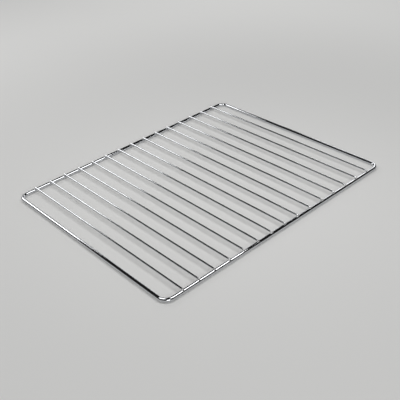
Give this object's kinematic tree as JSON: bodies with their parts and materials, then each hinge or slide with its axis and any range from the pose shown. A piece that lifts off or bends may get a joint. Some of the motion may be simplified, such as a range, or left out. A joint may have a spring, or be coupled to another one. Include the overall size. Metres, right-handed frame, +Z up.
{
  "type": "oven shelf rack",
  "caption": "Flat wire oven shelf: a rounded rectangular rim of thick chrome-plated wire carries parallel thin cross wires welded on top, to hold bakeware on an oven's side runners.",
  "frame": {"origin": "middle of the rack's footprint, on the surface that it lies on", "axes": "+X across the oven from side to side, +Y towards the back of the oven along the cross wires, +Z up, with the cross wires on top of the rim"},
  "size_m": [0.445, 0.36, 0.0085],
  "materials": {
    "chrome_plate": "bright chrome plate on drawn steel wire"
  },
  "bodies": {
    "root": {"rim_wire": "chrome_plate", "cross_wire_01": "chrome_plate", "cross_wire_02": "chrome_plate", "cross_wire_03": "chrome_plate", "cross_wire_04": "chrome_plate", "cross_wire_05": "chrome_plate", "cross_wire_06": "chrome_plate", "cross_wire_07": "chrome_plate", "cross_wire_08": "chrome_plate", "cross_wire_09": "chrome_plate", "cross_wire_10": "chrome_plate", "cross_wire_11": "chrome_plate", "cross_wire_12": "chrome_plate", "cross_wire_13": "chrome_plate", "cross_wire_14": "chrome_plate", "cross_wire_15": "chrome_plate"}
  },
  "joints": []
}
